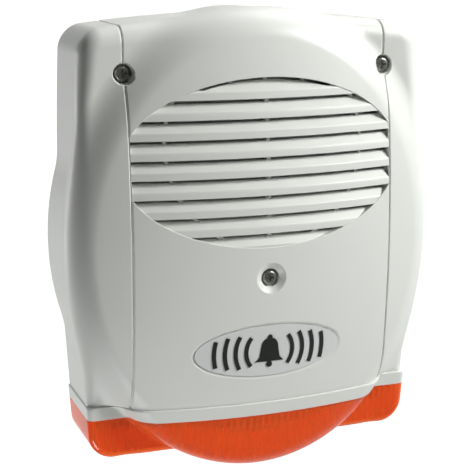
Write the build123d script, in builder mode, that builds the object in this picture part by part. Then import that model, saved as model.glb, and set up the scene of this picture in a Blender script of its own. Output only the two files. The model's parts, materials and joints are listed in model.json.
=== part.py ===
from build123d import *
import functools
import math
import os

os.makedirs("parts", exist_ok=True)

# Wall siren with flasher. Millimetres. The wall is the plane y = 0, the front faces -Y and +Z is up.
# The origin is the middle of the wall plane, at the centre of the oval dome.

# Case form: an arched box and an oval dome that grows out of it
BOX_DEPTH = 51.2          # box front above the wall, level with the origin
BOX_LEAN = 0.0306         # the box front stands further out towards the top
BOX_CHAMFER = 4.0
BOX_CORNER = 13.0
BOX_LOW = -125.5
BOX_TOP = 133.5
BOX_SHOULDER = 126.5
HALF_LOW = 100.5
HALF_MID = 107.0
HALF_TOP = 104.0
DOME_X = 114.0
DOME_Z = 137.0
DOME_CHAMFER = 9.0
APEX = 79.5               # greatest depth of the dome
BOW_R = 310.0             # front curvature seen from above
ARCH_R = 636.0            # front curvature seen from the side
REAR_GAP = 1.0            # cover edge to wall
COVER_WALL = 2.8
LENS_WALL = 2.2
PARTING = -101.0          # cover above, lens below

# Louvred grille
GRILLE_Z = 51.5
GRILLE_A = 85.5
GRILLE_B = 48.5
GRILLE_HALF = 80.0
SLOT_PITCH = 11.0
SLOT_TOP = 87.0
SLOT_COUNT = 8
LOUVRE_INSET = 7.0
RIB_INSET = 10.0
SCREEN_INSET = 10.4
SCREEN_T = 0.8
SCREEN_HEAD_R = 2.6

# Cover screws: (x, z), seat depth, base post height, shank tip depth
TOP_SEAT = 50.2
TOP_POST = 39.4
CENTRE_SEAT = 73.6
CENTRE_POST = 61.4
COVER_SCREWS = {
    "top_left": ((-80, 103), TOP_SEAT, TOP_POST, 28.0),
    "top_right": ((80, 103), TOP_SEAT, TOP_POST, 28.0),
    "centre": ((0, -15.7), CENTRE_SEAT, CENTRE_POST, 50.0),
}
SHANK_R = 2.05
POST_BORE_R = 2.12
WASHER_T = 0.8
HEAD_R = 4.1
HEAD_H = 2.6

# Badge
BADGE_Z = -60.0

# Base and contents
BASE_INSET = 3.6
BASE_T = 3.0
RIM_H = 14.0
WALL_HOLE = (70.0, 115.0)
WALL_HOLE_R = 3.0
ENTRY = (-62.0, -8.0)
ENTRY_R = 8.0
GROMMET_BORE_R = 5.0
HORN_Z = 51.5
HORN_BOLT_R = 42.0
FLANGE_DEPTH = 25.0
MOUTH_DEPTH = 58.0
MOUTH_R = 43.0
BATTERY = (178.0, 35.0, 61.0)
BATTERY_LOW = -98.5
BOARD = (52.0, 95.0, -16.0, 90.0)
BOARD_DEPTH = 14.0
BOARD_T = 1.6
FRONT_TAMPER = (-80.0, -8.0)
WALL_TAMPER = (-75.0, 25.0)
LAMP_Z = -112.0
LAMP_DEPTH = 22.0
LENS_TAB = (45.0, -90.0)


def bars(places, radius, start, end, mode=Mode.ADD):
    """Round bars or holes along the depth, from start to end above the wall, at each (x, z)."""
    with BuildSketch(Plane.XZ.offset(start)) as rounds:
        with Locations(*places):
            Circle(radius)
    extrude(rounds.sketch, amount=end - start, mode=mode)


def block(x, z, start, end, mode=Mode.ADD):
    """Rectangular block or cut spanning x, z and the depth from start to end."""
    with BuildSketch(Plane.XZ.offset(start)) as face:
        with Locations(((x[0] + x[1]) / 2, (z[0] + z[1]) / 2)):
            Rectangle(x[1] - x[0], z[1] - z[0])
    extrude(face.sketch, amount=end - start, mode=mode)


def box_outline(inset):
    """Outline of the arched box on the wall, moved inwards by inset."""
    low = BOX_LOW + inset
    shoulder = BOX_SHOULDER - inset
    with BuildSketch(Plane.XZ) as outline:
        with BuildLine():
            ThreePointArc((inset - HALF_TOP, shoulder), (0, BOX_TOP - inset), (HALF_TOP - inset, shoulder))
            ThreePointArc((HALF_TOP - inset, shoulder), (HALF_MID - inset, 30), (HALF_LOW - inset, low))
            Line((HALF_LOW - inset, low), (inset - HALF_LOW, low))
            ThreePointArc((inset - HALF_LOW, low), (inset - HALF_MID, 30), (inset - HALF_TOP, shoulder))
        make_face()
        fillet(outline.vertices(), BOX_CORNER - inset)
    return outline.sketch


@functools.cache
def barrel(inset):
    """Solid behind the dome's doubly curved front, moved inwards by inset."""
    half_x = 130.0
    half_z = 155.0
    bow = half_x**2 / (2 * BOW_R)
    arch = half_z**2 / (2 * ARCH_R)
    rows = [
        [
            Vector(x, inset + x_drop + z_drop - APEX, z)
            for x, x_drop in ((-half_x, bow), (0, -bow), (half_x, bow))
        ]
        for z, z_drop in ((-half_z, arch), (0, -arch), (half_z, arch))
    ]
    return Solid.extrude(Face.make_bezier_surface(rows), Vector(0, 100, 0))


@functools.cache
def envelope(inset):
    """Whole outer form of cover and lens, moved inwards by inset."""
    lean = math.atan(BOX_LEAN)
    forward = (0, -math.cos(lean), math.sin(lean))
    box_front = Plane(origin=(0, inset - BOX_DEPTH, 0), x_dir=(1, 0, 0), z_dir=forward)
    with BuildPart() as form:
        extrude(box_outline(inset), amount=BOX_DEPTH + 20)
        split(bisect_by=box_front, keep=Keep.BOTTOM)
        chamfer(form.faces().sort_by(Axis.Y)[0].edges(), BOX_CHAMFER - inset / 2)
    with BuildPart() as dome:
        with BuildSketch(Plane.XZ):
            Ellipse(DOME_X - inset, DOME_Z - inset)
        extrude(amount=APEX + 20)
        add(barrel(inset), mode=Mode.INTERSECT)
        chamfer(dome.faces().sort_by(Axis.Y)[0].edges(), DOME_CHAMFER - inset / 2)
    return form.part + dome.part


def skin(shape, outer, inner):
    """Curved sheet under the dome's front, from inset outer to inset inner, with the outline of shape."""
    with BuildPart() as sheet:
        extrude(shape, amount=APEX + 5)
        add(barrel(outer), mode=Mode.INTERSECT)
        add(barrel(inner), mode=Mode.SUBTRACT)
    return sheet.part


def raised(shape, inset):
    """Everything forward of the dome's front moved inwards by inset, with the outline of shape."""
    with BuildPart() as column:
        extrude(shape, amount=APEX + 10)
        add(barrel(inset), mode=Mode.SUBTRACT)
    return column.part


def oval(z, half_x, half_z):
    """Oval outline on the wall plane, centred on the middle line at height z."""
    with BuildSketch(Plane.XZ) as shape:
        with Locations((0, z)):
            Ellipse(half_x, half_z)
    return shape.sketch


def grille_area(margin):
    """Outline of the louvred field, wider by margin: an oval with flat ends."""
    with BuildSketch(Plane.XZ) as area:
        with Locations((0, GRILLE_Z)):
            Ellipse(GRILLE_A + margin, GRILLE_B + margin)
            Rectangle(2 * (GRILLE_HALF + margin), 3 * GRILLE_B, mode=Mode.INTERSECT)
    return area.sketch


def front_depth(z):
    """Depth of the dome's front on its middle line at height z."""
    return APEX - z**2 / (2 * ARCH_R)


def screen_seat(x, z):
    """Depth at which a flat screw head just clears the curved back of the screen at (x, z)."""
    slope = math.hypot(x / BOW_R, z / ARCH_R)
    back = front_depth(z) - x**2 / (2 * BOW_R) - SCREEN_INSET - SCREEN_T
    return back - SCREEN_HEAD_R * slope - 0.1


def slot_cut(z):
    """Cutter for one louvre slot: wide at the front below z, narrow at the back."""
    swing = 17.0
    lean = math.radians(swing)
    axis_y = BOW_R - front_depth(z)
    start = Plane(
        origin=(0, axis_y, 0),
        x_dir=(-math.sin(lean), -math.cos(lean), 0),
        z_dir=(-math.cos(lean), math.sin(lean), 0),
    )
    with BuildPart() as cutter:
        with BuildSketch(start):
            with BuildLine():
                Polyline(
                    (BOW_R + 2, z - 5.5),
                    (BOW_R, z - 5.5),
                    (BOW_R - 4.5, z - 0.6),
                    (BOW_R - LOUVRE_INSET - 4, z - 0.6),
                    (BOW_R - LOUVRE_INSET - 4, z + 1),
                    (BOW_R + 2, z + 1),
                    close=True,
                )
            make_face()
        revolve(axis=Axis((0, axis_y, 0), (0, 0, 1)), revolution_arc=2 * swing)
    return cutter.part


def bell_mark():
    """Generic alarm pictogram: a bell between sound waves."""
    with BuildSketch(Plane.XZ) as mark:
        with Locations((0, BADGE_Z + 3)):
            Circle(5.2)
        with Locations((0, BADGE_Z + 8.6)):
            Circle(1.5)
        with Locations((0, BADGE_Z - 8.4)):
            Circle(1.9)
        with BuildLine():
            Polyline(
                (-5.2, BADGE_Z + 3),
                (5.2, BADGE_Z + 3),
                (6.4, BADGE_Z - 4),
                (9, BADGE_Z - 6.6),
                (-9, BADGE_Z - 6.6),
                (-6.4, BADGE_Z - 4),
                close=True,
            )
        make_face()
    return mark.sketch


def wave_marks():
    """Sound waves on both sides of the bell: four arcs each, shorter outwards."""
    with BuildSketch(Plane.XZ) as waves:
        for radius, half_angle in ((14.5, 38), (21.0, 29), (27.5, 21), (34.0, 14)):
            reach = 40 * math.tan(math.radians(half_angle))
            with BuildSketch(Plane.XZ, mode=Mode.PRIVATE) as arc:
                with Locations((0, BADGE_Z)):
                    Circle(radius + 1.25)
                    Circle(radius - 1.25, mode=Mode.SUBTRACT)
            with BuildSketch(Plane.XZ, mode=Mode.PRIVATE) as wedge:
                for side in (-1, 1):
                    with BuildLine():
                        Polyline(
                            (0, BADGE_Z),
                            (side * 40, BADGE_Z - reach),
                            (side * 40, BADGE_Z + reach),
                            close=True,
                        )
                    make_face()
            add(arc.sketch & wedge.sketch)
    return waves.sketch


def round_screws(places, head_r, head_top, seat, shank_r, tip):
    """Screws pointing at the wall: head from seat to head_top, shank down to tip."""
    with BuildPart() as screws:
        bars(places, head_r, seat, head_top)
        bars(places, shank_r, tip, seat)
        for x, z in places:
            arm = head_r * 0.55
            block((x - arm, x + arm), (z - 0.4, z + 0.4), head_top - 1, head_top + 1, Mode.SUBTRACT)
            block((x - 0.4, x + 0.4), (z - arm, z + arm), head_top - 1, head_top + 1, Mode.SUBTRACT)
    return screws


def lead(points, radius, bends):
    """Insulated wire along straight runs joined by tangent arcs."""
    with BuildPart() as wire:
        with BuildLine() as route:
            FilletPolyline(*points, radius=bends)
        with BuildSketch(Plane(origin=route.line @ 0, z_dir=route.line % 0)):
            Circle(radius)
        sweep()
    return wire


pieces = {}

# ---------------------------------------------------------------- cover
top_places = [COVER_SCREWS["top_left"][0], COVER_SCREWS["top_right"][0]]
centre_place = [COVER_SCREWS["centre"][0]]
lens_places = [(-LENS_TAB[0], LENS_TAB[1]), LENS_TAB]
screen_places = [(-84.5, GRILLE_Z), (84.5, GRILLE_Z), (0, GRILLE_Z + 52), (0, GRILLE_Z - 52)]

with BuildSketch(Plane.XZ) as rib_lines:
    with Locations((0, GRILLE_Z + 13.5)):
        Circle(61.2)
        Circle(59, mode=Mode.SUBTRACT)
    with Locations((0, GRILLE_Z)):
        Rectangle(2.4, 2 * GRILLE_B)
        Ellipse(GRILLE_A - 0.4, GRILLE_B - 0.4, mode=Mode.INTERSECT)
with BuildSketch(Plane.XZ) as boss_rounds:
    with Locations(*screen_places):
        Circle(3.6)

# The hollow of the cover, less the bosses and the thick louvred field that stand in it
with BuildPart() as hollow:
    add(envelope(COVER_WALL))
    bars(top_places, 8.5, TOP_POST + 0.6, 90, Mode.SUBTRACT)
    bars(centre_place, 8.5, CENTRE_POST + 0.6, 90, Mode.SUBTRACT)
    bars([FRONT_TAMPER], 3, 44, 90, Mode.SUBTRACT)
    bars(lens_places, 4, 58, 90, Mode.SUBTRACT)
    add(raised(grille_area(2), LOUVRE_INSET), mode=Mode.SUBTRACT)
    add(raised(rib_lines.sketch, RIB_INSET), mode=Mode.SUBTRACT)
    add(raised(boss_rounds.sketch, SCREEN_INSET), mode=Mode.SUBTRACT)

with BuildPart() as slots:
    for number in range(SLOT_COUNT):
        add(slot_cut(SLOT_TOP - number * SLOT_PITCH))
    with BuildPart(mode=Mode.PRIVATE) as field:
        extrude(grille_area(-1.5), amount=APEX + 5)
    add(field.part, mode=Mode.INTERSECT)

with BuildPart() as arc_slot:
    with BuildSketch(Plane.XZ.offset(50)):
        with Locations((0, GRILLE_Z)):
            Ellipse(GRILLE_A - 1.2, GRILLE_B - 1.2)
            Ellipse(GRILLE_A - 2.8, GRILLE_B - 2.8, mode=Mode.SUBTRACT)
        with Locations((0, GRILLE_Z + GRILLE_B - 3)):
            Rectangle(76, 12, mode=Mode.INTERSECT)
    extrude(amount=40)

with BuildPart() as outer_cover:
    add(envelope(0))
    add(hollow.part, mode=Mode.SUBTRACT)
    split(bisect_by=Plane.XY.offset(PARTING), keep=Keep.TOP)
    split(bisect_by=Plane.XZ.offset(REAR_GAP), keep=Keep.TOP)
    add(slots.part, mode=Mode.SUBTRACT)
    add(arc_slot.part, mode=Mode.SUBTRACT)
    bars(top_places, 5.6, TOP_SEAT, 90, Mode.SUBTRACT)
    bars(top_places, 2.6, 30, 90, Mode.SUBTRACT)
    bars(centre_place, 5.5, CENTRE_SEAT, 90, Mode.SUBTRACT)
    bars(centre_place, 2.6, 40, 90, Mode.SUBTRACT)
    bars(lens_places, 1.5, 57, 65, Mode.SUBTRACT)
    for x, z in screen_places:
        bars([(x, z)], 1.35, screen_seat(x, z) - 2, screen_seat(x, z) + 5.5, Mode.SUBTRACT)
    add(skin(oval(BADGE_Z, 48.3, 18), -3, 1.4), mode=Mode.SUBTRACT)
pieces["outer_cover"] = outer_cover

with BuildPart() as badge_plate:
    add(skin(oval(BADGE_Z, 45.3, 15.7), 0.2, 1.4))
pieces["badge_plate"] = badge_plate

with BuildPart() as badge_mark:
    add(skin(bell_mark() + wave_marks(), -0.15, 0.2))
pieces["badge_mark"] = badge_mark

with BuildPart() as anti_foam_screen:
    with BuildSketch(Plane.XZ) as perforated:
        with Locations((0, GRILLE_Z)):
            Ellipse(GRILLE_A + 4, GRILLE_B + 6)
        with Locations((0, GRILLE_Z)):
            with GridLocations(12, 11, 11, 8):
                Circle(3.2, mode=Mode.SUBTRACT)
        with Locations(*screen_places):
            Circle(3.8)
            Circle(1.6, mode=Mode.SUBTRACT)
    add(skin(perforated.sketch, SCREEN_INSET, SCREEN_INSET + SCREEN_T))
pieces["anti_foam_screen"] = anti_foam_screen

# ---------------------------------------------------------------- lens
with BuildPart() as lens_shelf:
    block((-88, 88), (PARTING - 2, PARTING), 45, 90)
    add(envelope(LENS_WALL / 2), mode=Mode.INTERSECT)

with BuildPart() as flasher_lens:
    add(envelope(0))
    add(envelope(LENS_WALL), mode=Mode.SUBTRACT)
    split(bisect_by=Plane.XY.offset(PARTING), keep=Keep.BOTTOM)
    split(bisect_by=Plane.XZ.offset(REAR_GAP), keep=Keep.TOP)
    add(lens_shelf.part)
    for side in (-1, 1):
        arm = sorted((side * (LENS_TAB[0] - 5), side * (LENS_TAB[0] + 5)))
        block(arm, (PARTING - 2, LENS_TAB[1] + 4.5), 55, 57.5)
    bars(lens_places, 1.7, 54, 58, Mode.SUBTRACT)
pieces["flasher_lens"] = flasher_lens


def inside_screws(places, head_r, head_bottom, seat, shank_r, tip):
    """Screws pointing away from the wall: head from head_bottom to seat, shank up to tip."""
    with BuildPart() as screws:
        bars(places, head_r, head_bottom, seat)
        bars(places, shank_r, seat, tip)
    return screws


pieces["lens_screws"] = inside_screws(lens_places, 2.8, 52.8, 55, 1.45, 63)

with BuildPart() as screen_screws:
    for x, z in screen_places:
        bars([(x, z)], SCREEN_HEAD_R, screen_seat(x, z) - 1.6, screen_seat(x, z))
        bars([(x, z)], 1.3, screen_seat(x, z), screen_seat(x, z) + 5)
pieces["screen_screws"] = screen_screws

# ---------------------------------------------------------------- cover screws and their captive washers
for corner, (place, seat, post, tip) in COVER_SCREWS.items():
    with BuildPart() as screw:
        bars([place], HEAD_R, seat + WASHER_T, seat + WASHER_T + HEAD_H)
        fillet(screw.faces().sort_by(Axis.Y)[0].edges(), 1.1)
        bars([place], SHANK_R, tip, seat + WASHER_T)
        top = seat + WASHER_T + HEAD_H
        for half_x, half_z in ((2.3, 0.45), (0.45, 2.3)):
            x = (place[0] - half_x, place[0] + half_x)
            z = (place[1] - half_z, place[1] + half_z)
            block(x, z, top - 1.5, top + 1, Mode.SUBTRACT)
    pieces["cover_screw_" + corner] = screw
    with BuildPart() as washer:
        bars([place], 4.7, seat, seat + WASHER_T)
        bars([place], POST_BORE_R, seat - 1, seat + 2, Mode.SUBTRACT)
    pieces["captive_washer_" + corner] = washer

# ---------------------------------------------------------------- base
horn_places = [
    (HORN_BOLT_R * math.sin(math.radians(turn)), HORN_Z + HORN_BOLT_R * math.cos(math.radians(turn)))
    for turn in (0, 120, 240)
]
board_places = [(57, -11), (90, -11), (57, 83), (90, 83)]
wall_places = [(x * WALL_HOLE[0], z * WALL_HOLE[1]) for x in (-1, 1) for z in (-1, 1)]
lamp_places = [(-38, LAMP_Z), (38, LAMP_Z)]
strap_place = [(0, -33.0)]
post_places = {place: post for place, seat, post, tip in COVER_SCREWS.values()}

with BuildPart() as base_plate:
    with BuildSketch(Plane.XZ) as floor:
        add(box_outline(BASE_INSET))
        Ellipse(DOME_X - BASE_INSET, DOME_Z - BASE_INSET)
    extrude(amount=BASE_T)
    with BuildSketch(Plane.XZ):
        add(floor.sketch)
        add(box_outline(BASE_INSET + 2.5), mode=Mode.SUBTRACT)
        Ellipse(DOME_X - BASE_INSET - 2.5, DOME_Z - BASE_INSET - 2.5, mode=Mode.SUBTRACT)
    extrude(amount=RIM_H)
    for place, post in post_places.items():
        bars([place], 6, BASE_T - 1, post)
    bars(horn_places, 4.5, BASE_T - 1, FLANGE_DEPTH)
    bars(board_places, 3.5, BASE_T - 1, BOARD_DEPTH)
    bars(lamp_places, 3, BASE_T - 1, 5)
    bars(strap_place, 4, BASE_T - 1, 8)
    bars(wall_places, 7, BASE_T - 1, BASE_T + 1.5)
    for side in (-1, 1):
        block(sorted((side * 90, side * 92)), (-88, -48), BASE_T - 1, 20)
        block((WALL_TAMPER[0] - 2.5, WALL_TAMPER[0] + 2.5),
              sorted((WALL_TAMPER[1] + side * 6.5, WALL_TAMPER[1] + side * 9.5)), BASE_T - 1, 9)
    block((-60, 60), (BATTERY_LOW - 2, BATTERY_LOW), BASE_T - 1, 12)
    x, z = FRONT_TAMPER
    block((x - 3, x + 3), (z - 10, z + 10), BASE_T - 1, 28)
    for place, post in post_places.items():
        bars([place], POST_BORE_R, 10, post + 1, Mode.SUBTRACT)
    bars(horn_places, 1.5, 12, FLANGE_DEPTH + 1, Mode.SUBTRACT)
    bars(board_places, 1.3, 6, BOARD_DEPTH + 1, Mode.SUBTRACT)
    bars(lamp_places, 1.3, 1.5, 6, Mode.SUBTRACT)
    bars(strap_place, 1.5, 2.5, 9, Mode.SUBTRACT)
    bars(wall_places, WALL_HOLE_R, -1, 10, Mode.SUBTRACT)
    bars([ENTRY], ENTRY_R, -1, 10, Mode.SUBTRACT)
    bars([WALL_TAMPER], 2.08, -1, 10, Mode.SUBTRACT)
pieces["base_plate"] = base_plate

with BuildPart() as cable_grommet:
    bars([ENTRY], ENTRY_R, 0, 8)
    bars([ENTRY], 10.5, BASE_T, 5.5)
    bars([ENTRY], GROMMET_BORE_R, -1, 9, Mode.SUBTRACT)
pieces["cable_grommet"] = cable_grommet

# ---------------------------------------------------------------- horn and driver
AXIS_PLANE = Plane(origin=(0, 0, HORN_Z), x_dir=(0, -1, 0), z_dir=(1, 0, 0))
HORN_AXIS = Axis((0, 0, HORN_Z), (0, -1, 0))


def turned(outline):
    """Body of revolution about the horn's axis from (depth, radius) corners."""
    with BuildPart() as body:
        with BuildSketch(AXIS_PLANE):
            with BuildLine():
                Polyline(*outline, close=True)
            make_face()
        revolve(axis=HORN_AXIS)
    return body


with BuildPart() as horn_bell:
    with BuildSketch(AXIS_PLANE):
        with BuildLine():
            ThreePointArc((FLANGE_DEPTH, 9), (49, 20), (MOUTH_DEPTH, MOUTH_R))
            Polyline(
                (MOUTH_DEPTH, MOUTH_R), (MOUTH_DEPTH, MOUTH_R + 5), (MOUTH_DEPTH - 2, MOUTH_R + 5),
                (MOUTH_DEPTH - 2, MOUTH_R + 2),
            )
            ThreePointArc((MOUTH_DEPTH - 2, MOUTH_R + 2), (47, 22), (FLANGE_DEPTH + 2.5, 11.5))
            Polyline(
                (FLANGE_DEPTH + 2.5, 11.5), (FLANGE_DEPTH + 2.5, 47), (FLANGE_DEPTH, 47), (FLANGE_DEPTH, 9),
            )
        make_face()
    revolve(axis=HORN_AXIS)
    bars(horn_places, 1.8, FLANGE_DEPTH - 1, FLANGE_DEPTH + 4, Mode.SUBTRACT)
pieces["horn_bell"] = horn_bell
pieces["horn_screws"] = round_screws(horn_places, 3.2, FLANGE_DEPTH + 5, FLANGE_DEPTH + 2.5, 1.45, 14)
pieces["driver_housing"] = turned(
    [(4, 0), (4, 33), (25, 33), (25, 30), (18.4, 30), (18.4, 27), (17, 27), (17, 30), (6, 30), (6, 0)]
)
pieces["driver_magnet"] = turned([(8, 13), (8, 25), (15, 25), (15, 13)])
with BuildPart() as driver_yoke:
    bars([(0, HORN_Z)], 25, 6, 8)
    bars([(0, HORN_Z)], 9.5, 8, 17)
    bars([(0, HORN_Z)], 25, 15, 17)
    bars([(0, HORN_Z)], 11.2, 14, 18, Mode.SUBTRACT)
    bars([(0, HORN_Z)], 9.5, 8, 17)
pieces["driver_yoke"] = driver_yoke
pieces["voice_coil"] = turned([(12, 9.9), (12, 10.8), (19.2, 10.8), (19.2, 9.9)])
pieces["diaphragm"] = turned(
    [(19.2, 0), (19.2, 11), (20.6, 14), (19.2, 18), (19.2, 26), (19.6, 26), (19.6, 18.2), (21, 14),
     (19.6, 10.8),
     (19.6, 0)]
)

# ---------------------------------------------------------------- battery
with BuildPart() as battery_case:
    width, depth, height = BATTERY
    block((-width / 2, width / 2), (BATTERY_LOW, BATTERY_LOW + height), BASE_T, BASE_T + depth)
    fillet(battery_case.edges().filter_by(Axis.Z), 2)
pieces["battery_case"] = battery_case
battery_top = BATTERY_LOW + BATTERY[2]
terminal_places = [66.0, 82.0]
with BuildPart() as battery_terminals:
    for x in terminal_places:
        block((x - 2.4, x + 2.4), (battery_top, battery_top + 6.5), 20.1, 20.9)
pieces["battery_terminals"] = battery_terminals
with BuildPart() as lead_connectors:
    for x in terminal_places:
        block((x - 3.2, x + 3.2), (battery_top + 1, battery_top + 13), 18.5, 22.5)
        block((x - 2.45, x + 2.45), (battery_top, battery_top + 7), 20.05, 20.95, Mode.SUBTRACT)
pieces["lead_connectors"] = lead_connectors
strap_front = BASE_T + BATTERY[1]
with BuildPart() as battery_strap:
    block((-7, 7), (BATTERY_LOW, battery_top + 1.2), strap_front, strap_front + 1.2)
    block((-7, 7), (battery_top, battery_top + 1.2), 8, strap_front)
    block((-7, 7), (battery_top, battery_top + 8.5), 8, 9.2)
    bars(strap_place, 1.8, 7, 10, Mode.SUBTRACT)
pieces["battery_strap"] = battery_strap
pieces["strap_screw"] = round_screws(strap_place, 2.9, 11.6, 9.2, 1.45, 3.5)

# ---------------------------------------------------------------- control board
board_top = BOARD_DEPTH + BOARD_T
with BuildPart() as main_board:
    block(BOARD[0:2], BOARD[2:4], BOARD_DEPTH, board_top)
    bars(board_places, 1.6, BOARD_DEPTH - 1, board_top + 1, Mode.SUBTRACT)
pieces["main_board"] = main_board
pieces["board_screws"] = round_screws(board_places, 2.8, board_top + 2, board_top, 1.25, 7)
with BuildPart() as terminal_block:
    block((60, 86), (-14.5, -4.5), board_top, board_top + 11)
    for number in range(5):
        x = 62.6 + 5.2 * number
        block((x - 1.6, x + 1.6), (-15, -9), board_top + 1.5, board_top + 6, Mode.SUBTRACT)
        bars([(x, -9.5)], 1.7, board_top + 8, board_top + 12, Mode.SUBTRACT)
pieces["terminal_block"] = terminal_block
with BuildPart() as relay:
    block((72, 91), (52, 68), board_top, board_top + 15)
    fillet(relay.edges().filter_by(Axis.Y), 0.8)
pieces["relay"] = relay
with BuildPart() as capacitors:
    bars([(60, 66), (60, 53)], 5, board_top, board_top + 17)
    fillet(capacitors.faces().group_by(Axis.Y)[0].edges(), 0.8)
pieces["capacitors"] = capacitors
with BuildPart() as transformer:
    block((68, 88), (24, 42), board_top, board_top + 14)
    block((65.5, 90.5), (28.5, 37.5), board_top + 2, board_top + 10)
pieces["transformer"] = transformer
with BuildPart() as controller_chips:
    block((57, 64), (24, 41), board_top, board_top + 3.4)
    block((70, 80), (6, 12), board_top, board_top + 2.4)
pieces["controller_chips"] = controller_chips
TRIMMER = (60.5, 12.0)
with BuildPart() as trimmer_body:
    x, z = TRIMMER
    block((x - 3.5, x + 3.5), (z - 3.5, z + 3.5), board_top, board_top + 5)
    bars([TRIMMER], 2.6, board_top + 2.4, board_top + 6, Mode.SUBTRACT)
pieces["trimmer_body"] = trimmer_body
with BuildPart() as trimmer_knob:
    bars([TRIMMER], 2.52, board_top + 2.45, board_top + 6.2)
    block((TRIMMER[0] - 1.8, TRIMMER[0] + 1.8), (TRIMMER[1] - 0.35, TRIMMER[1] + 0.35),
          board_top + 5.4, board_top + 7, Mode.SUBTRACT)
pieces["trimmer_knob"] = trimmer_knob

# ---------------------------------------------------------------- tamper switches
with BuildPart() as front_tamper_switch:
    x, z = FRONT_TAMPER
    block((x - 3.2, x + 3.2), (z - 10, z + 10), 28, 38)
    bars([FRONT_TAMPER], 1.58, 30, 39, Mode.SUBTRACT)
pieces["front_tamper_switch"] = front_tamper_switch
with BuildPart() as front_tamper_plunger:
    bars([FRONT_TAMPER], 1.5, 30.5, 43.7)
pieces["front_tamper_plunger"] = front_tamper_plunger
with BuildPart() as wall_tamper_switch:
    block((WALL_TAMPER[0] - 3.2, WALL_TAMPER[0] + 3.2), (WALL_TAMPER[1] - 10, WALL_TAMPER[1] + 10), 9, 19)
    bars([WALL_TAMPER], 2.08, 8, 16, Mode.SUBTRACT)
pieces["wall_tamper_switch"] = wall_tamper_switch
with BuildPart() as wall_tamper_plunger:
    bars([WALL_TAMPER], 2, 0, 15)
    bars([WALL_TAMPER], 3.2, 7, 8.4)
pieces["wall_tamper_plunger"] = wall_tamper_plunger

# ---------------------------------------------------------------- flasher lamp
with BuildPart() as lamp_board:
    block((-45, 45), (LAMP_Z - 7, LAMP_Z + 7), 5, 6.6)
    bars(lamp_places, 1.6, 4, 8, Mode.SUBTRACT)
pieces["lamp_board"] = lamp_board
pieces["lamp_screws"] = round_screws(lamp_places, 2.6, 8.4, 6.6, 1.25, 2)
lamp_reflector_section = Plane(origin=(0, 0, LAMP_Z), x_dir=(0, -1, 0), z_dir=(1, 0, 0))
with BuildPart() as lamp_reflector:
    with BuildSketch(lamp_reflector_section):
        with BuildLine():
            Spline((34, 8.6), (20, 6.6), (11, 0), (20, -6.6), (34, -8.6))
            Line((34, -8.6), (34, -7.6))
            Spline((34, -7.6), (20.5, -5.6), (12, 0), (20.5, 5.6), (34, 7.6))
            Line((34, 7.6), (34, 8.6))
        make_face()
    extrude(amount=33, both=True)
    bars([(-12, LAMP_Z), (12, LAMP_Z)], 2, 6.6, 11.6)
    bars([(-24, LAMP_Z), (24, LAMP_Z)], 1.8, 6, 16, Mode.SUBTRACT)
pieces["lamp_reflector"] = lamp_reflector
with BuildPart() as flash_tube:
    with BuildSketch(Plane(origin=(-20, -LAMP_DEPTH, LAMP_Z), z_dir=(1, 0, 0))):
        Circle(2.6)
    extrude(amount=40)
pieces["flash_tube"] = flash_tube
with BuildPart() as tube_clips:
    for side in (-1, 1):
        with BuildSketch(Plane(origin=(side * 20, -LAMP_DEPTH, LAMP_Z), z_dir=(side, 0, 0))) as cap:
            Circle(3.3)
        extrude(cap.sketch, amount=7)
        bars([(side * 24, LAMP_Z)], 1.2, 6.6, LAMP_DEPTH - 2)
pieces["tube_clips"] = tube_clips

# ---------------------------------------------------------------- internal leads
lead_start = battery_top + 13
entry_depth = board_top + 3.75
pieces["battery_lead_black"] = lead(
    [(66, -20.5, lead_start), (66, -20.5, lead_start + 4.2),
     (62.6, -entry_depth, -14), (62.6, -entry_depth, -9.5)],
    1.1, 1.6)
pieces["battery_lead_red"] = lead(
    [(82, -20.5, lead_start), (82, -20.5, lead_start + 4.2),
     (78.2, -entry_depth, -14), (78.2, -entry_depth, -9.5)],
    1.1, 1.6)
pieces["horn_lead"] = lead(
    [(33, -14, HORN_Z - 12), (43, -12, HORN_Z - 16), (49, -20, HORN_Z - 24), (56, -21, HORN_Z - 30)], 1.0, 3)
pieces["tamper_lead"] = lead(
    [(FRONT_TAMPER[0], -33, FRONT_TAMPER[1] - 10), (FRONT_TAMPER[0], -33, -23), (-74, -12, -27),
     (-50, -8, -26.4), (-20, -8, -25.9), (20, -8, -26), (40, -8.5, -25), (48, -12, -20), (50, -17, -11),
     (54.5, -17.5, -4)], 1.0, 3)
pieces["lamp_lead"] = lead(
    [(45, -5.8, LAMP_Z), (52, -5.8, LAMP_Z), (62, -7, -105), (88, -8, -104), (95, -8, -94), (95.5, -8, -60),
     (95, -8, -36), (92, -9, -26), (89, -13, -17.5)], 1.1, 4)

for name, builder in pieces.items():
    builder.part.label = name
    export_step(builder.part, f"parts/{name}.step")
print(len(pieces), "nodes")
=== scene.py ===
import json
import math

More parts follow.
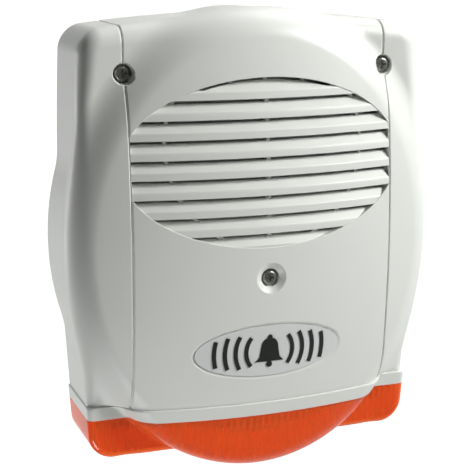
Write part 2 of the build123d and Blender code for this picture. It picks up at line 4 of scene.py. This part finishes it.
import bmesh
import bpy
import numpy as np
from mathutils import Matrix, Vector


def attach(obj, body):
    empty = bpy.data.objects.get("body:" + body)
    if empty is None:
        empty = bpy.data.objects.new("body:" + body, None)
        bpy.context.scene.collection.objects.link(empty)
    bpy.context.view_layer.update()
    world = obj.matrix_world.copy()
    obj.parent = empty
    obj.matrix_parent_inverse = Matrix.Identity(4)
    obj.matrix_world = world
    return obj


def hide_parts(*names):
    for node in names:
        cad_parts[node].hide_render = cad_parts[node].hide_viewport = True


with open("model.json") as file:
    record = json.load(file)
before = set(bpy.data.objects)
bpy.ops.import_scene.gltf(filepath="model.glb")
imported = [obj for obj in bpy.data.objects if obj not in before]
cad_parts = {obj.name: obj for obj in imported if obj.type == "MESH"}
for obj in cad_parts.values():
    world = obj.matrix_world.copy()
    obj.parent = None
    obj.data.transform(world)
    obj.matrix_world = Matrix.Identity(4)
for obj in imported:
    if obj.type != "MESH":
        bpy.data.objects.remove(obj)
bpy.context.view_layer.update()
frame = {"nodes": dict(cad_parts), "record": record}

# Shapes are worked out in millimetres: x to the right, d out from the wall, z up.
# Case: half axes of the dome, its rim and the bow of its front, the box's front and the corners in plan
DOME_X, DOME_Z = 114.0, 137.0
RIM_ROUND = 15.0
DEPTH = 79.5
BOW_X, BOW_Z = 620.0, 1272.0
BOX_DEPTH, BOX_LEAN = 51.2, 0.0306
BOX_BOTTOM = -125.5
CORNER = 13.0
SEAM = 80
# Grille: height of its centre, half width and half height, and where its straight ends are
GRILLE = (51.5, 85.5, 48.5)
GRILLE_HALF = 79.6
LOUVRES, LOUVRE_TOP, LOUVRE_PITCH = 8, 87, 11
PANEL_INSET = 0.5
SLOPE_INSET = 4.5
RIB_INSET, RIB_BACK = 3.9, 12
# Walls, and the heights of the ledge and of the joint between cover and lens
WALL = 2.7
LENS_WALL = 2.2
PARTING = -101.0
LEDGE = -93.0
REAR = 1.0
FLUTE_PITCH, FLUTE_DEPTH = 4.0, 0.5
# Screws as (x, z), with the depth that their heads sit at, and the badge's height
TOP_SCREWS = ((-80.0, 103.0), (80.0, 103.0))
TOP_SEAT = 50.2
CENTRE_SCREW = (0.0, -15.7)
CENTRE_SEAT = 73.6
SCREW_BORE = 2.6
BOSS_R, BOSS_WALL = 8.0, 2.4
BADGE_Z = -60.0


def circle(p, q, r):
    """Centre and radius of the circle through three points."""
    rows = np.array([[q[0] - p[0], q[1] - p[1]], [r[0] - p[0], r[1] - p[1]]]) * 2
    right = [q[0] ** 2 - p[0] ** 2 + q[1] ** 2 - p[1] ** 2, r[0] ** 2 - p[0] ** 2 + r[1] ** 2 - p[1] ** 2]
    cx, cz = np.linalg.solve(rows, right)
    return cx, cz, math.hypot(p[0] - cx, p[1] - cz)


TOP_ARC = circle((-104.0, 126.5), (0.0, 133.5), (104.0, 126.5))
SIDE_ARC = circle((104.0, 126.5), (107.0, 30.0), (100.5, BOX_BOTTOM))


def ease(x, low, high):
    """0 below low, 1 above high, smooth between."""
    t = np.clip((x - low) / (high - low), 0, 1)
    return t * t * (3 - 2 * t)


def both(a, b, r):
    """Overlap of two solids, given as distances, with the edge rounded by r."""
    return np.minimum(-r, np.maximum(a, b)) + np.hypot(np.maximum(r + a, 0), np.maximum(r + b, 0))


def either(a, b, r):
    """Union of two solids with the inner corner filled by r."""
    return -both(-a, -b, r)


def front(x, z):
    """Depth of the bowed front."""
    return DEPTH - x * x / BOW_X - z * z / BOW_Z


def case(x, d, z):
    """Distance to the case without its fine lines: oval dome and arched box."""
    crisp = ease(-z, 90, 95)
    k = np.hypot(x / DOME_X, z / DOME_Z) + 1e-6
    flank = (k - 1) * k / (np.hypot(x / DOME_X**2, z / DOME_Z**2) + 1e-8)
    cap = (d - front(x, z)) / np.sqrt(1 + (2 * x / BOW_X) ** 2 + (2 * z / BOW_Z) ** 2)
    dome = both(flank, cap, RIM_ROUND - 4 * crisp)
    side = np.hypot(np.abs(x) - SIDE_ARC[0], z - SIDE_ARC[1]) - SIDE_ARC[2]
    top = np.hypot(x, z - TOP_ARC[1]) - TOP_ARC[2]
    plan = both(both(top, side, CORNER), BOX_BOTTOM - z, CORNER)
    edge = 6.5 + 4.5 * ease(z, 60, 125) - 3.5 * crisp
    box = both(plan, d - BOX_DEPTH - BOX_LEAN * z, edge)
    fill = 1.6 + 10.4 * ease(d, 28, 50) * (1 - 0.8 * crisp)
    return either(dome, box, fill)


def skin(x, d, z):
    """Distance to the outside of the case with the skirt band and the two seam grooves."""
    near = np.abs(np.abs(x) - SEAM)
    band = ease(LEDGE + 0.35 - z, 0, 0.7) * (1.0 - 0.4 * np.exp(-((near / 7) ** 2)))
    groove = np.clip(1 - near / 0.85, 0, 1) * ease(z, -92.6, -91.6)
    return case(x, d, z) - band + 1.05 * groove


def grille_margin(x, z):
    """Positive inside the grille outline, in millimetres."""
    zc, a, b = GRILLE
    k = np.hypot(x / a, (z - zc) / b) + 1e-6
    oval = (1 - k) * k / (np.hypot(x / a**2, (z - zc) / b**2) + 1e-8)
    return np.minimum(oval, GRILLE_HALF - np.abs(x))


def boss(x, d, z, place, seat):
    """Distance to the round post that a cover screw's head sits on."""
    return np.maximum(np.hypot(x - place[0], z - place[1]) - BOSS_R, seat - BOSS_WALL - d)


def cover_inside(x, d, z):
    """Negative in the hollow under the cover."""
    wall = WALL + 4.6 * ease(grille_margin(x, z), -4, -2)
    hollow = case(x, d, z) + wall
    posts = boss(x, d, z, CENTRE_SCREW, CENTRE_SEAT)
    for place in TOP_SCREWS:
        posts = np.minimum(posts, boss(x, d, z, place, TOP_SEAT))
    return np.maximum(hollow, -posts)


def lens_inside(x, d, z):
    """Negative in the hollow of the lens; the front wall is fluted inside."""
    flutes = FLUTE_DEPTH * np.cos(x * 2 * math.pi / FLUTE_PITCH) * ease(d, 30, 40)
    hollow = case(x, d, z) + LENS_WALL + flutes
    return np.maximum(hollow, -np.maximum(np.maximum(44.0 - d, -103.0 - z), np.abs(x) - 88))


def net(surface, xs, ds, zs, bounds):
    """Closed mesh of the solid under a surface, on a grid, with its points moved onto it."""
    low_d, low_z, high_z = bounds

    def solid(x, d, z):
        return np.maximum(surface(x, d, z), np.maximum(np.maximum(low_d - d, low_z - z), z - high_z))

    axes = (xs, ds, zs)
    values = solid(*np.meshgrid(xs, ds, zs, indexing="ij"))
    shape = np.array(values.shape) - 1
    keys, points, quads = [], [], []
    for axis in range(3):
        first = [slice(None)] * 3
        last = [slice(None)] * 3
        first[axis], last[axis] = slice(0, -1), slice(1, None)
        a, b = values[tuple(first)], values[tuple(last)]
        at = np.argwhere((a < 0) != (b < 0))
        va, vb = a[tuple(at.T)], b[tuple(at.T)]
        t = va / (va - vb)
        p = np.stack([axes[i][at[:, i]] for i in range(3)], 1)
        p[:, axis] += (axes[axis][at[:, axis] + 1] - axes[axis][at[:, axis]]) * t
        u, w = [i for i in range(3) if i != axis]
        ring = []
        for du, dw in ((1, 1), (0, 1), (0, 0), (1, 0)):
            cell = at.copy()
            cell[:, u] -= du
            cell[:, w] -= dw
            ring.append(np.ravel_multi_index(tuple(cell.T), tuple(shape)))
            keys.append(ring[-1])
            points.append(p)
        ring = np.stack(ring, 1)
        turn = (va < 0) == (axis != 1)
        ring[turn] = ring[turn][:, ::-1]
        quads.append(ring)
    used, index = np.unique(np.concatenate(keys), return_inverse=True)
    stacked = np.concatenate(points)
    count = np.bincount(index)
    co = np.stack([np.bincount(index, stacked[:, i]) / count for i in range(3)], 1)
    faces = np.searchsorted(used, np.concatenate(quads))
    for _ in range(4):
        s, g = surface(*co.T), slope(surface, co)
        step = (s / np.maximum((g * g).sum(1), 0.05))[:, None] * g
        co = co - np.where((np.abs(s) < 3)[:, None], np.clip(step, -0.8, 0.8), 0)
    return co, faces


def slope(surface, p, h=0.02):
    """Gradient of a surface function at points."""
    g = np.empty_like(p)
    for i in range(3):
        e = np.zeros(3)
        e[i] = h
        g[:, i] = (surface(*(p + e).T) - surface(*(p - e).T)) / (2 * h)
    return g


def spread(low, high, step, *fine):
    """Grid lines from low to high, with closer ones around the given places."""
    lines = [np.arange(low, high + step, step)]
    for centre in fine:
        lines[0] = lines[0][np.abs(lines[0] - centre) > 2.0]
        near = np.array([0.12, 0.36, 0.62, 0.9, 1.25, 1.8])
        lines.append(np.concatenate([centre - near, centre + near]))
    return np.unique(np.concatenate(lines))


def to_mesh(name, co, faces):
    """Blender object from millimetre points (x, depth, z)."""
    mesh = bpy.data.meshes.new(name)
    place = np.stack([co[:, 0], -co[:, 1], co[:, 2]], 1) / 1000
    mesh.from_pydata(place.tolist(), [], [list(map(int, f)) for f in faces])
    mesh.update()
    made = bpy.data.objects.new(name, mesh)
    bpy.context.scene.collection.objects.link(made)
    return made


def combine(target, cutter, operation="DIFFERENCE"):
    """target joined with or cut by cutter; cutter is used up."""
    step = target.modifiers.new("cut", "BOOLEAN")
    step.operation = operation
    step.solver = "MANIFOLD"
    step.object = cutter
    bpy.context.view_layer.update()
    shape = bpy.data.meshes.new_from_object(target.evaluated_get(bpy.context.evaluated_depsgraph_get()))
    old = target.data
    target.modifiers.clear()
    target.data = shape
    bpy.data.meshes.remove(old)
    bpy.data.objects.remove(cutter)
    return target


def loft(name, loops, closed_ends=True):
    """Solid through loops of equal count, each an (n, 3) array of (x, depth, z)."""
    n = len(loops[0])
    co = [np.asarray(loop, float) for loop in loops]
    faces = []
    for k in range(len(loops) - 1):
        for i in range(n):
            j = (i + 1) % n
            faces.append((k * n + i, k * n + j, (k + 1) * n + j, (k + 1) * n + i))
    if closed_ends:
        faces.append(tuple(range(n))[::-1])
        faces.append(tuple(range((len(loops) - 1) * n, len(loops) * n)))
    made = to_mesh(name, np.concatenate(co), faces)
    outward(made)
    return made


def outward(made):
    """Turns the faces of a closed mesh outwards."""
    bm = bmesh.new()
    bm.from_mesh(made.data)
    bmesh.ops.recalc_face_normals(bm, faces=bm.faces)
    if bm.calc_volume(signed=True) < 0:
        bmesh.ops.reverse_faces(bm, faces=bm.faces)
    bm.to_mesh(made.data)
    bm.free()


def block(low, high):
    """Plain cutter between two corners (x, depth, z)."""
    (x0, d0, z0), (x1, d1, z1) = low, high
    ring = [(x0, z0), (x1, z0), (x1, z1), (x0, z1)]
    return loft("block", [[(x, d, z) for x, z in ring] for d in (d0, d1)])


def turned(place, outline, count=96):
    """Solid of rotation about a line along the depth: outline is (radius, depth) points."""
    turn = np.linspace(0, 2 * math.pi, count, endpoint=False)
    loops = []
    for radius, depth in outline:
        x = place[0] + radius * np.cos(turn)
        z = place[1] + radius * np.sin(turn)
        loops.append(np.stack([x, np.full(count, depth), z], 1))
    return loft("turned", loops)


def grille_outline(grow, count=360):
    """Points on the grille outline: an oval with straight ends."""
    zc, a, b = GRILLE
    turn = np.linspace(0, 2 * math.pi, count, endpoint=False)
    x = (a + grow) * np.cos(turn)
    z = zc + (b + grow) * np.sin(turn)
    return np.clip(x, -GRILLE_HALF - grow, GRILLE_HALF + grow), z


def grille_plug(steps):
    """Solid with the grille outline, open to the front; steps are (inset from the front, growth)."""
    loops = []
    for inset, grow in steps:
        x, z = grille_outline(grow)
        loops.append(np.stack([x, front(x, z) - inset, z], 1))
    x, z = grille_outline(steps[-1][1])
    loops.append(np.stack([x, np.full(len(x), 95.0), z], 1))
    return loft("plug", loops)


def bowed_slab(x0, x1, z0, z1, inset, out=-16.0):
    """Slab that follows the bowed front from an inset outwards."""
    rows = np.linspace(z0, z1, 42)
    loops = []
    for x in np.linspace(x0, x1, 82):
        under = [(x, front(x, z) - inset, z) for z in rows]
        over = [(x, front(x, z) - out, z) for z in rows[::-1]]
        loops.append(under + over)
    return loft("slab", loops)


def slot_cutter(z0, arc=False):
    """Cutter for the hollow above one louvre: lip, slope and the slot behind."""
    back = SLOPE_INSET if arc else 9.5
    outline = [
        (-2.0, z0 - 6.05),
        (PANEL_INSET - 0.12, z0 - 6.05),
        (PANEL_INSET + 0.04, z0 - 5.72),
        (PANEL_INSET + 0.16, z0 - 5.42),
        (PANEL_INSET + 0.38, z0 - 5.16),
        (SLOPE_INSET, z0 - 0.95),
    ]
    if arc:
        outline += [(SLOPE_INSET, z0 + 4), (-2.0, z0 + 4)]
    else:
        outline += [
            (back, z0 - 0.95),
            (back, z0 + 1.0),
            (PANEL_INSET + 0.5, z0 + 1.0),
            (PANEL_INSET + 0.12, z0 + 1.16),
            (PANEL_INSET - 0.12, z0 + 1.5),
            (-2.0, z0 + 1.5),
        ]
    inset = np.array([p[0] for p in outline])
    z = np.array([p[1] for p in outline])
    loops = []
    for x in np.linspace(-81, 81, 109):
        loops.append(np.stack([np.full(len(z), x), front(x, z) - inset, z], 1))
    return loft("slot", loops)


def rib(points, half):
    """Upright wall behind the louvres along a path of (x, z) points."""
    path = np.array(points, float)
    along = np.gradient(path, axis=0)
    along /= np.linalg.norm(along, axis=1)[:, None]
    across = np.stack([along[:, 1], -along[:, 0]], 1) * half
    loops = []
    for p, c in zip(path, across):
        (x0, z0), (x1, z1) = p - c, p + c
        loops.append(
            [
                (x0, front(x0, z0) - RIB_INSET, z0),
                (x1, front(x1, z1) - RIB_INSET, z1),
                (x1, front(x1, z1) - RIB_BACK, z1),
                (x0, front(x0, z0) - RIB_BACK, z0),
            ]
        )
    return loft("rib", loops)


def join(parts):
    """One object of several separate solids."""
    bpy.ops.object.select_all(action="DESELECT")
    for p in parts:
        p.select_set(True)
    bpy.context.view_layer.objects.active = parts[0]
    bpy.ops.object.join()
    return parts[0]


def cut_grille(cover):
    """Sunk panel, eight louvre slots, the arc slot and the ribs behind them."""
    panel = bowed_slab(-81, 81, 1.5, 101.5, PANEL_INSET)
    combine(panel, grille_plug([(14, 0), (0.32, 0), (0.06, 0.18), (-0.1, 0.5), (-1, 0.7)]), "INTERSECT")
    combine(cover, panel)
    slots = join([slot_cutter(LOUVRE_TOP - LOUVRE_PITCH * n) for n in range(LOUVRES)])
    combine(slots, rib([(0, z) for z in np.linspace(0, 104, 30)], 1.2))
    ring = np.linspace(math.radians(-100), math.radians(280), 121)[:-1]
    for turn in (ring[:62], ring[58:]):
        combine(slots, rib([(60 * math.cos(t), 62 + 60 * math.sin(t)) for t in turn], 0.9))
    combine(slots, grille_plug([(14, 0), (-1, 0)]), "INTERSECT")
    combine(cover, slots)
    hood = slot_cutter(LOUVRE_TOP + LOUVRE_PITCH, arc=True)
    combine(hood, grille_plug([(14, 0), (-1, 0)]), "INTERSECT")
    combine(cover, hood)
    arc = grille_plug([(14, -0.1), (2, -0.1)])
    combine(arc, grille_plug([(16, -1.8), (1, -1.8)]))
    combine(arc, block((-40, 50, 93.4), (40, 90, 104)), "INTERSECT")
    for x in (-1.3, 22.0, -22.0):
        combine(arc, block((x, 50, 90), (x + 2.2, 90, 104)))
    combine(cover, arc)


def oval_plug(steps, count=160):
    """Solid with an oval outline round the badge; steps are (inset, half width, half height)."""
    turn = np.linspace(0, 2 * math.pi, count, endpoint=False)
    loops = []
    for inset, a, b in steps:
        x = a * np.cos(turn)
        z = BADGE_Z + b * np.sin(turn)
        loops.append(np.stack([x, front(x, z) - inset, z], 1))
    return loft("oval", loops)


def settle(made, surfaces, crease=32):
    """Smooth shading: true surface directions where a point lies on one of the curved surfaces."""
    mesh = made.data
    mesh.polygons.foreach_set("use_smooth", np.ones(len(mesh.polygons), bool))
    mesh.set_sharp_from_angle(angle=math.radians(crease))
    mesh.update()
    n = len(mesh.loops)
    normals = np.empty(n * 3, np.float32)
    mesh.corner_normals.foreach_get("vector", normals)
    normals = normals.reshape(-1, 3).astype(float)
    corner = np.empty(n, np.int32)
    mesh.loops.foreach_get("vertex_index", corner)
    co = np.empty(len(mesh.vertices) * 3, np.float32)
    mesh.vertices.foreach_get("co", co)
    co = co.reshape(-1, 3).astype(float) * 1000
    p = np.stack([co[:, 0], -co[:, 1], co[:, 2]], 1)
    facing = np.empty(len(mesh.polygons) * 3, np.float32)
    mesh.polygons.foreach_get("normal", facing)
    facing = facing.reshape(-1, 3)
    sizes = np.empty(len(mesh.polygons), np.int32)
    mesh.polygons.foreach_get("loop_total", sizes)
    facing = np.repeat(facing, sizes, axis=0)
    for surface, sign in surfaces:
        g = slope(surface, p)
        g = np.stack([g[:, 0], -g[:, 1], g[:, 2]], 1) * sign
        g /= np.maximum(np.linalg.norm(g, axis=1), 1e-6)[:, None]
        near = np.abs(surface(*p.T)) < 0.03
        match = near[corner] & ((g[corner] * facing).sum(1) > 0.9)
        normals[match] = g[corner][match]
    mesh.normals_split_custom_set(normals.tolist())
    mesh.update()


def make_cover():
    xs = spread(-118.5, 118.5, 1.5, -SEAM, SEAM)
    zs = spread(-109.5, 141, 1.5, LEDGE)
    cover = to_mesh("cover_shell", *net(skin, xs, np.arange(-5.25, 83, 1.5), zs, (-3.0, -106.0, 400.0)))
    outward(cover)
    coarse = np.arange(-118.0, 119, 2.0)
    ds, zs = np.arange(-9.0, 83, 2.0), np.arange(-114.0, 141, 2.0)
    hollow = to_mesh("hollow", *net(cover_inside, coarse, ds, zs, (-6.0, -110.0, 400.0)))
    outward(hollow)
    combine(cover, hollow)
    combine(cover, block((-130, -20, -130), (130, REAR, 160)))
    combine(cover, block((-130, -20, -130), (130, 100, PARTING)))
    cut_grille(cover)
    for place in TOP_SCREWS:
        rim = BOX_DEPTH + BOX_LEAN * place[1]
        lip = [(5.6, TOP_SEAT), (5.6, rim - 0.5), (5.75, rim - 0.2), (6.3, rim + 0.25), (6.3, 62)]
        combine(cover, turned(place, lip))
        combine(cover, turned(place, [(SCREW_BORE, 30), (SCREW_BORE, TOP_SEAT + 1)], 48))
    rim = front(0, CENTRE_SCREW[1])
    flare = [(5.5, CENTRE_SEAT), (5.5, rim - 2.6), (5.7, rim - 2.3)]
    flare += [(9.15, rim - 0.12), (9.5, rim + 0.1), (10.5, 84)]
    combine(cover, turned(CENTRE_SCREW, flare))
    combine(cover, turned(CENTRE_SCREW, [(SCREW_BORE, 40), (SCREW_BORE, CENTRE_SEAT + 1)], 48))
    bezel = [(1.4, 45.42, 15.82), (0.95, 45.5, 15.9), (0.8, 45.9, 16.25)]
    bezel += [(0.03, 47.8, 17.6), (-0.08, 48.3, 18.0), (-3, 48.6, 18.3)]
    combine(cover, oval_plug(bezel))
    settle(cover, [(skin, 1), (cover_inside, -1)])
    return cover


def make_lens():
    ds, zs = np.arange(-5.25, 83, 1.5), np.arange(-141, -93, 1.5)
    lens = to_mesh("lens_shell", *net(skin, np.arange(-118.5, 119, 1.5), ds, zs, (-3.0, -400.0, -98.0)))
    outward(lens)
    fine = np.arange(-117.6, 118, 0.6)
    hollow = to_mesh("hollow", *net(lens_inside, fine, np.arange(-9.0, 83, 1.8), zs, (-6.0, -400.0, -96.0)))
    outward(hollow)
    combine(lens, hollow)
    combine(lens, block((-130, -20, -160), (130, REAR, -90)))
    combine(lens, block((-130, -20, PARTING - 0.3), (130, 100, -90)))
    settle(lens, [(skin, 1), (lens_inside, -1)])
    return lens


def finish(name, first, second, rough, broad, grain, relief, metal=0.0, sockets=None):
    """Procedural finish: two close tones, uneven gloss and a fine relief in millimetres."""
    made = bpy.data.materials.new(name)
    made.use_nodes = True
    tree = made.node_tree
    shader = tree.nodes["Principled BSDF"]
    place = tree.nodes.new("ShaderNodeTexCoord")
    cloud = tree.nodes.new("ShaderNodeTexNoise")
    cloud.inputs["Scale"].default_value = broad
    cloud.inputs["Detail"].default_value = 4.0
    tone = tree.nodes.new("ShaderNodeMix")
    tone.data_type = "RGBA"
    tone.inputs["A"].default_value = (*first, 1)
    tone.inputs["B"].default_value = (*second, 1)
    gloss = tree.nodes.new("ShaderNodeMapRange")
    gloss.inputs["From Min"].default_value = 0.3
    gloss.inputs["From Max"].default_value = 0.7
    gloss.inputs["To Min"].default_value = rough - 0.04
    gloss.inputs["To Max"].default_value = rough + 0.04
    speck = tree.nodes.new("ShaderNodeTexNoise")
    speck.inputs["Scale"].default_value = grain
    speck.inputs["Detail"].default_value = 2.0
    bump = tree.nodes.new("ShaderNodeBump")
    bump.inputs["Strength"].default_value = 0.6
    bump.inputs["Distance"].default_value = relief / 1000
    link = tree.links.new
    link(place.outputs["Object"], cloud.inputs["Vector"])
    link(place.outputs["Object"], speck.inputs["Vector"])
    link(cloud.outputs["Fac"], tone.inputs["Factor"])
    link(tone.outputs["Result"], shader.inputs["Base Color"])
    link(cloud.outputs["Fac"], gloss.inputs["Value"])
    link(gloss.outputs["Result"], shader.inputs["Roughness"])
    link(speck.outputs["Fac"], bump.inputs["Height"])
    link(bump.outputs["Normal"], shader.inputs["Normal"])
    shader.inputs["Metallic"].default_value = metal
    for socket, value in (sockets or {}).items():
        shader.inputs[socket].default_value = value
    return made


# Two tones, roughness, scale of the broad variation and of the grain, relief in millimetres, metal
TONES = {
    "cover_plastic": ((0.76, 0.78, 0.745), (0.79, 0.805, 0.775), 0.42, 40, 1800, 0.03),
    "badge_plastic": ((0.70, 0.725, 0.71), (0.73, 0.75, 0.74), 0.36, 120, 2500, 0.012),
    "black_print": ((0.012, 0.014, 0.012), (0.02, 0.022, 0.02), 0.45, 300, 3000, 0.01),
    "galvanised_steel": ((0.42, 0.43, 0.44), (0.55, 0.56, 0.57), 0.45, 260, 900, 0.03, 0.9),
    "lens_plastic": ((1.0, 0.17, 0.025), (1.0, 0.24, 0.04), 0.12, 70, 500, 0.03),
    "base_plastic": ((0.68, 0.69, 0.66), (0.73, 0.74, 0.71), 0.5, 60, 1500, 0.03),
    "black_rubber": ((0.015, 0.015, 0.015), (0.03, 0.03, 0.03), 0.7, 200, 1800, 0.04),
    "horn_plastic": ((0.025, 0.025, 0.027), (0.04, 0.04, 0.042), 0.5, 90, 1400, 0.03),
    "ferrite": ((0.05, 0.05, 0.05), (0.085, 0.083, 0.08), 0.65, 200, 1500, 0.05),
    "plated_steel": ((0.60, 0.60, 0.58), (0.70, 0.70, 0.68), 0.32, 400, 2500, 0.01, 1.0),
    "dark_screw": ((0.34, 0.34, 0.32), (0.46, 0.455, 0.43), 0.30, 500, 3000, 0.012, 0.95),
    "copper": ((0.60, 0.26, 0.11), (0.70, 0.33, 0.15), 0.3, 300, 2500, 0.02, 0.9),
    "phenolic_film": ((0.25, 0.13, 0.05), (0.33, 0.18, 0.08), 0.5, 200, 1500, 0.02),
    "battery_plastic": ((0.04, 0.042, 0.05), (0.06, 0.062, 0.07), 0.45, 70, 1600, 0.03),
    "brass": ((0.62, 0.52, 0.32), (0.72, 0.62, 0.42), 0.3, 300, 2500, 0.01, 1.0),
    "clear_sleeve": ((0.72, 0.72, 0.70), (0.80, 0.80, 0.78), 0.25, 200, 1500, 0.02),
    "circuit_board": ((0.01, 0.12, 0.045), (0.015, 0.19, 0.07), 0.3, 220, 1200, 0.02),
    "terminal_green": ((0.02, 0.20, 0.07), (0.03, 0.27, 0.10), 0.4, 120, 1500, 0.02),
    "black_plastic": ((0.02, 0.02, 0.022), (0.035, 0.035, 0.037), 0.42, 150, 1600, 0.02),
    "capacitor_sleeve": ((0.02, 0.03, 0.13), (0.03, 0.045, 0.18), 0.28, 200, 1500, 0.01),
    "transformer_yellow": ((0.72, 0.52, 0.08), (0.8, 0.6, 0.12), 0.5, 150, 1200, 0.03),
    "trimmer_blue": ((0.02, 0.10, 0.48), (0.03, 0.14, 0.56), 0.3, 200, 1800, 0.01),
    "white_plastic": ((0.78, 0.78, 0.75), (0.83, 0.83, 0.80), 0.4, 150, 1800, 0.02),
    "red_plastic": ((0.55, 0.02, 0.02), (0.64, 0.035, 0.03), 0.4, 150, 1800, 0.02),
    "mirror_metal": ((0.80, 0.80, 0.80), (0.86, 0.86, 0.86), 0.08, 90, 600, 0.01, 1.0),
    "tube_glass": ((0.92, 0.94, 0.95), (0.96, 0.97, 0.98), 0.06, 90, 500, 0.01),
    "black_insulation": ((0.015, 0.015, 0.015), (0.03, 0.03, 0.03), 0.4, 200, 1500, 0.02),
    "red_insulation": ((0.5, 0.015, 0.012), (0.6, 0.025, 0.02), 0.4, 200, 1500, 0.02),
    "grey_insulation": ((0.24, 0.24, 0.25), (0.32, 0.32, 0.33), 0.4, 200, 1500, 0.02),
    "white_insulation": ((0.74, 0.74, 0.72), (0.80, 0.80, 0.78), 0.4, 200, 1500, 0.02),
}
# Clear plastics; the lens's small emission stands for light scattered inside it
CLEAR = {
    "lens_plastic": {
        "Transmission Weight": 0.7,
        "IOR": 1.49,
        "Emission Color": (1.0, 0.09, 0.008, 1),
        "Emission Strength": 0.07,
    },
    "tube_glass": {"Transmission Weight": 0.9, "IOR": 1.47},
}
FINISHES = {name: finish(name, *tones, sockets=CLEAR.get(name)) for name, tones in TONES.items()}
for row in frame["record"]["subparts"]:
    mesh = frame["nodes"][row["node"]].data
    mesh.materials.clear()
    mesh.materials.append(FINISHES[row["material_slot"]])


def dress(made, slot):
    """One finish over the whole piece."""
    made.data.materials.clear()
    made.data.materials.append(FINISHES[slot])
    made.data.polygons.foreach_set("material_index", np.zeros(len(made.data.polygons), np.int32))


cover = make_cover()
dress(cover, "cover_plastic")
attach(cover, "cover")
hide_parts("outer_cover")

lens = make_lens()
dress(lens, "lens_plastic")
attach(lens, "cover")
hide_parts("flasher_lens")


def fade(tree, point, along, between, values):
    """Socket that goes smoothly from one value to another along a direction."""
    away = tree.nodes.new("ShaderNodeVectorMath")
    away.operation = "DOT_PRODUCT"
    away.inputs[1].default_value = along
    level = tree.nodes.new("ShaderNodeMapRange")
    level.interpolation_type = "SMOOTHSTEP"
    level.inputs["From Min"].default_value = between[0]
    level.inputs["From Max"].default_value = between[1]
    level.inputs["To Min"].default_value = values[0]
    level.inputs["To Max"].default_value = values[1]
    tree.links.new(point, away.inputs[0])
    tree.links.new(away.outputs["Value"], level.inputs["Value"])
    return level.outputs["Result"]


def seen(tree, plain, graded):
    """Socket with an even value for the backdrop as the camera sees it and a graded one for its light."""
    path = tree.nodes.new("ShaderNodeLightPath")
    pick = tree.nodes.new("ShaderNodeMix")
    pick.inputs["B"].default_value = plain
    tree.links.new(path.outputs["Is Camera Ray"], pick.inputs["Factor"])
    tree.links.new(graded, pick.inputs["A"])
    return pick.outputs["Result"]


def sweep():
    """Pale floor that curves up into a wall behind the siren."""
    line = [(-9.0, -2.4), (0.0, -2.4)]
    for t in np.linspace(-90, 0, 17)[1:]:
        line.append((1.4 * math.cos(math.radians(t)), 1.4 * math.sin(math.radians(t)) - 1.0))
    line.append((1.4, 4.0))
    points = [(x, y, z) for x in (-9.0, 9.0) for y, z in line]
    n = len(line)
    faces = [(i, i + 1, n + i + 1, n + i) for i in range(n - 1)]
    mesh = bpy.data.meshes.new("floor")
    mesh.from_pydata(points, [], faces)
    mesh.polygons.foreach_set("use_smooth", np.ones(len(mesh.polygons), bool))
    paint = finish("floor_paint", (0.88, 0.88, 0.875), (0.91, 0.91, 0.905), 0.7, 3, 60, 0.2)
    tree = paint.node_tree
    place = tree.nodes.new("ShaderNodeTexCoord")
    glow = fade(tree, place.outputs["Object"], (0.7, 0.7, 0), (-0.2, 1.0), (0.0, 0.45))
    tree.links.new(seen(tree, 0.9, glow), tree.nodes["Principled BSDF"].inputs["Emission Strength"])
    tree.nodes["Principled BSDF"].inputs["Emission Color"].default_value = (1, 1, 0.995, 1)
    mesh.materials.append(paint)
    made = bpy.data.objects.new("floor", mesh)
    bpy.context.scene.collection.objects.link(made)


def lamp(name, place, aim, size, power, spread=180, colour=(1, 1, 1)):
    """Soft square lamp."""
    data = bpy.data.lights.new(name, "AREA")
    data.size = size
    data.energy = power
    data.color = colour
    data.spread = math.radians(spread)
    made = bpy.data.objects.new(name, data)
    made.location = place
    made.rotation_euler = (Vector(aim) - Vector(place)).to_track_quat("-Z", "Y").to_euler()
    bpy.context.scene.collection.objects.link(made)


def sky(low, high):
    """Surroundings: even white to the camera, their light dimmer from the front left."""
    world = bpy.data.worlds.new("room")
    bpy.context.scene.world = world
    world.use_nodes = True
    tree = world.node_tree
    place = tree.nodes.new("ShaderNodeTexCoord")
    ground = tree.nodes["Background"]
    towards = Vector((-0.70, -0.70, 0.0)).normalized()
    glow = fade(tree, place.outputs["Generated"], towards, (-0.1, 0.7), (high, low))
    tree.links.new(seen(tree, 1.0, glow), ground.inputs["Strength"])
    ground.inputs["Color"].default_value = (0.97, 1.0, 0.98, 1)


sweep()
sky(0.0, 0.26)
lamp("key", (1.0, -0.76, 0.78), (0, -0.04, 0), 0.5, 5.5, 90, (1, 0.995, 0.98))
lamp("fill", (-0.85, 0.66, -0.1), (-0.1, -0.02, -0.02), 0.5, 1.15, 90)
lamp("top", (0.45, 0.15, 1.0), (0.05, -0.04, 0), 0.5, 1.0, 90)
lamp("low", (-0.30, -0.25, -0.42), (-0.07, -0.06, -0.12), 0.2, 0.10, 46)

# Camera: its lens, place and direction were worked out from points on the case, with no roll
view = bpy.data.cameras.new("camera")
view.sensor_width = 36.0
view.lens = 101.96
eye = bpy.data.objects.new("camera", view)
azimuth, elevation = math.radians(-20.03), math.radians(12.76)
back = Vector(
    (math.sin(azimuth) * math.cos(elevation), -math.cos(azimuth) * math.cos(elevation), math.sin(elevation))
)
eye.location = (-0.2754, -0.7726, 0.1791)
eye.rotation_euler = (-back).to_track_quat("-Z", "Y").to_euler()
bpy.context.scene.collection.objects.link(eye)
bpy.context.scene.camera = eye
bpy.context.scene.view_settings.view_transform = "Standard"
